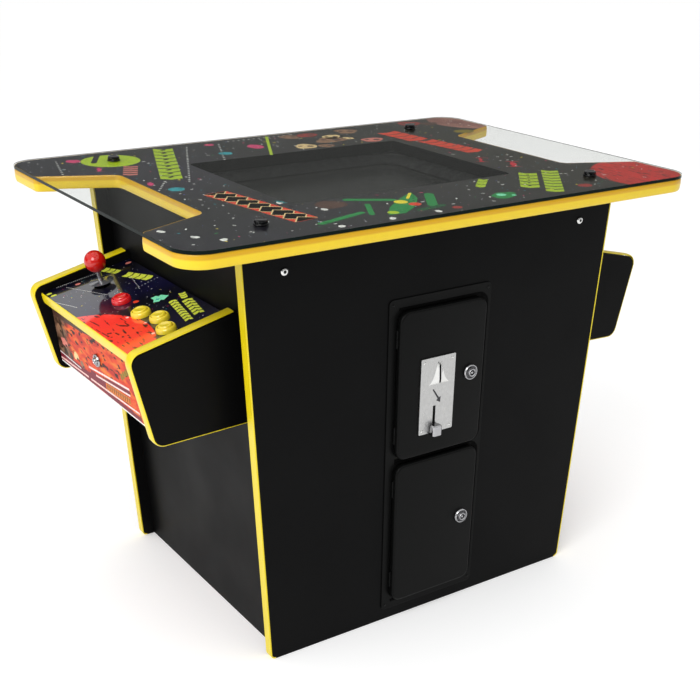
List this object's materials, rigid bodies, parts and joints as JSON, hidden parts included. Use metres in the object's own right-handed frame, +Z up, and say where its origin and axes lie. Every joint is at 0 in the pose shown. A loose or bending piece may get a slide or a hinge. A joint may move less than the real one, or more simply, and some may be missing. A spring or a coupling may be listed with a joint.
{
  "type": "arcade cabinet",
  "caption": "Cocktail-table arcade cabinet with a glass top, an under-glass screen, facing control boxes and coin doors.",
  "frame": {"origin": "on the floor under the middle of the cabinet", "axes": "+Z up; X along the table's length, the players sitting at its two ends; -Y is the face with the coin doors"},
  "size_m": [1.0194, 0.678, 0.7442],
  "materials": {
    "black_board": "black vinyl-faced board, satin",
    "table_print": "dark printed vinyl on board",
    "deck_print": "glossy printed overlay on board",
    "yellow_edge": "extruded edge moulding, satin",
    "tempered_glass": "clear tempered, polished",
    "black_plastic": "moulded, glossy",
    "monitor_plastic": "moulded, matte",
    "black_steel": "fine-texture black powder coat",
    "plate_steel": "satin plated plate",
    "chrome_trim": "polished plating",
    "shaft_steel": "turned, plated",
    "cover_print": "glossy printed overlay on sheet",
    "red_plastic": "moulded, glossy",
    "yellow_plastic": "moulded, glossy"
  },
  "bodies": {
    "cabinet": {"base_panel": "black_board", "box_cheek_left_back": "black_board", "box_cheek_left_front": "black_board", "box_cheek_right_back": "black_board", "box_cheek_right_front": "black_board", "box_cover_left": "cover_print", "box_cover_right": "cover_print", "coin_door_frame": "black_steel", "end_panel_left": "black_board", "end_panel_right": "black_board", "glass_cap_back_left": "black_plastic", "glass_cap_back_right": "black_plastic", "glass_cap_front_left": "black_plastic", "glass_cap_front_right": "black_plastic", "glass_top": "tempered_glass", "monitor": "monitor_plastic", "power_inlet": "black_plastic", "side_molding_back_left": "yellow_edge", "side_molding_back_right": "yellow_edge", "side_molding_front_left": "yellow_edge", "side_molding_front_right": "yellow_edge", "side_panel_back": "black_board", "side_panel_front": "black_board", "tabletop": "table_print", "tabletop_molding": "yellow_edge"},
    "upper_door": {"coin_door_upper": "black_steel", "coin_acceptor": "plate_steel"},
    "upper_lock": {"coin_lock_upper": "chrome_trim"},
    "return_lever": {"coin_return_lever": "chrome_trim"},
    "lower_door": {"coin_door_lower": "black_steel"},
    "lower_lock": {"coin_lock_lower": "chrome_trim"},
    "rocker": {"power_rocker": "black_plastic"},
    "left_box_lock": {"box_lock_left": "chrome_trim"},
    "left_deck": {"deck_left": "deck_print", "joystick_base_left": "black_plastic", "button_body_red_left": "red_plastic", "button_body_yellow_1_left": "yellow_plastic", "button_body_yellow_2_left": "yellow_plastic", "button_body_yellow_3_left": "yellow_plastic"},
    "left_gimbal": {"joystick_gimbal_left": "black_plastic"},
    "left_stick": {"joystick_shaft_left": "shaft_steel", "joystick_ball_left": "red_plastic"},
    "left_red_button": {"button_plunger_red_left": "red_plastic"},
    "left_yellow_1_button": {"button_plunger_yellow_1_left": "yellow_plastic"},
    "left_yellow_2_button": {"button_plunger_yellow_2_left": "yellow_plastic"},
    "left_yellow_3_button": {"button_plunger_yellow_3_left": "yellow_plastic"},
    "right_box_lock": {"box_lock_right": "chrome_trim"},
    "right_deck": {"deck_right": "deck_print", "joystick_base_right": "black_plastic", "button_body_red_right": "red_plastic", "button_body_yellow_1_right": "yellow_plastic", "button_body_yellow_2_right": "yellow_plastic", "button_body_yellow_3_right": "yellow_plastic"},
    "right_gimbal": {"joystick_gimbal_right": "black_plastic"},
    "right_stick": {"joystick_shaft_right": "shaft_steel", "joystick_ball_right": "red_plastic"},
    "right_red_button": {"button_plunger_red_right": "red_plastic"},
    "right_yellow_1_button": {"button_plunger_yellow_1_right": "yellow_plastic"},
    "right_yellow_2_button": {"button_plunger_yellow_2_right": "yellow_plastic"},
    "right_yellow_3_button": {"button_plunger_yellow_3_right": "yellow_plastic"}
  },
  "joints": [
    {"name": "upper_door_hinge", "type": "hinge", "parent": "cabinet", "child": "upper_door", "pos_m": [-0.088, -0.2762, 0.4485], "axis": [0, 0, -1], "range_deg": [0, 100]},
    {"name": "upper_lock_turn", "type": "hinge", "parent": "upper_door", "child": "upper_lock", "pos_m": [0.0585, -0.2855, 0.452], "axis": [0, -1, 0], "range_deg": [0, 90]},
    {"name": "return_lever_press", "type": "slide", "parent": "upper_door", "child": "return_lever", "axis": [0, 0, -1], "range_m": [0, 0.006], "stiffness_N_per_m": 200, "springref_m": -0.004},
    {"name": "lower_door_hinge", "type": "hinge", "parent": "cabinet", "child": "lower_door", "pos_m": [-0.088, -0.2762, 0.175], "axis": [0, 0, -1], "range_deg": [0, 100]},
    {"name": "lower_lock_turn", "type": "hinge", "parent": "lower_door", "child": "lower_lock", "pos_m": [0.0585, -0.2855, 0.178], "axis": [0, -1, 0], "range_deg": [0, 90]},
    {"name": "power_rocker_tip", "type": "hinge", "parent": "cabinet", "child": "rocker", "pos_m": [0.2, 0.2712, 0.112], "axis": [-1, 0, 0], "range_deg": [0, 16]},
    {"name": "left_box_lock_turn", "type": "hinge", "parent": "cabinet", "child": "left_box_lock", "pos_m": [-0.48255, 0, 0.4885], "axis": [-0.9977, 0, -0.0678], "range_deg": [0, 90]},
    {"name": "left_deck_hinge", "type": "hinge", "parent": "cabinet", "child": "left_deck", "pos_m": [-0.3354, 0, 0.5873], "axis": [0, 1, 0], "range_deg": [0, 32]},
    {"name": "left_stick_fore_aft", "type": "hinge", "parent": "left_deck", "child": "left_gimbal", "pos_m": [-0.40937, 0.118, 0.54091], "axis": [0, -1, 0], "range_deg": [-10, 10], "stiffness_Nm_per_rad": 2},
    {"name": "left_stick_side", "type": "hinge", "parent": "left_gimbal", "child": "left_stick", "pos_m": [-0.40937, 0.118, 0.54091], "axis": [-0.9781, 0, -0.2079], "range_deg": [-10, 10], "stiffness_Nm_per_rad": 2},
    {"name": "left_red_press", "type": "slide", "parent": "left_deck", "child": "left_red_button", "axis": [0.2079, 0, -0.9781], "range_m": [0, 0.0025], "stiffness_N_per_m": 300, "springref_m": -0.002},
    {"name": "left_yellow_1_press", "type": "slide", "parent": "left_deck", "child": "left_yellow_1_button", "axis": [0.2079, 0, -0.9781], "range_m": [0, 0.0025], "stiffness_N_per_m": 300, "springref_m": -0.002},
    {"name": "left_yellow_2_press", "type": "slide", "parent": "left_deck", "child": "left_yellow_2_button", "axis": [0.2079, 0, -0.9781], "range_m": [0, 0.0025], "stiffness_N_per_m": 300, "springref_m": -0.002},
    {"name": "left_yellow_3_press", "type": "slide", "parent": "left_deck", "child": "left_yellow_3_button", "axis": [0.2079, 0, -0.9781], "range_m": [0, 0.0025], "stiffness_N_per_m": 300, "springref_m": -0.002},
    {"name": "right_box_lock_turn", "type": "hinge", "parent": "cabinet", "child": "right_box_lock", "pos_m": [0.48255, 0, 0.4885], "axis": [0.9977, 0, -0.0678], "range_deg": [0, 90]},
    {"name": "right_deck_hinge", "type": "hinge", "parent": "cabinet", "child": "right_deck", "pos_m": [0.3354, 0, 0.5873], "axis": [0, -1, 0], "range_deg": [0, 32]},
    {"name": "right_stick_fore_aft", "type": "hinge", "parent": "right_deck", "child": "right_gimbal", "pos_m": [0.40937, -0.118, 0.54091], "axis": [0, 1, 0], "range_deg": [-10, 10], "stiffness_Nm_per_rad": 2},
    {"name": "right_stick_side", "type": "hinge", "parent": "right_gimbal", "child": "right_stick", "pos_m": [0.40937, -0.118, 0.54091], "axis": [0.9781, 0, -0.2079], "range_deg": [-10, 10], "stiffness_Nm_per_rad": 2},
    {"name": "right_red_press", "type": "slide", "parent": "right_deck", "child": "right_red_button", "axis": [-0.2079, 0, -0.9781], "range_m": [0, 0.0025], "stiffness_N_per_m": 300, "springref_m": -0.002},
    {"name": "right_yellow_1_press", "type": "slide", "parent": "right_deck", "child": "right_yellow_1_button", "axis": [-0.2079, 0, -0.9781], "range_m": [0, 0.0025], "stiffness_N_per_m": 300, "springref_m": -0.002},
    {"name": "right_yellow_2_press", "type": "slide", "parent": "right_deck", "child": "right_yellow_2_button", "axis": [-0.2079, 0, -0.9781], "range_m": [0, 0.0025], "stiffness_N_per_m": 300, "springref_m": -0.002},
    {"name": "right_yellow_3_press", "type": "slide", "parent": "right_deck", "child": "right_yellow_3_button", "axis": [-0.2079, 0, -0.9781], "range_m": [0, 0.0025], "stiffness_N_per_m": 300, "springref_m": -0.002}
  ]
}
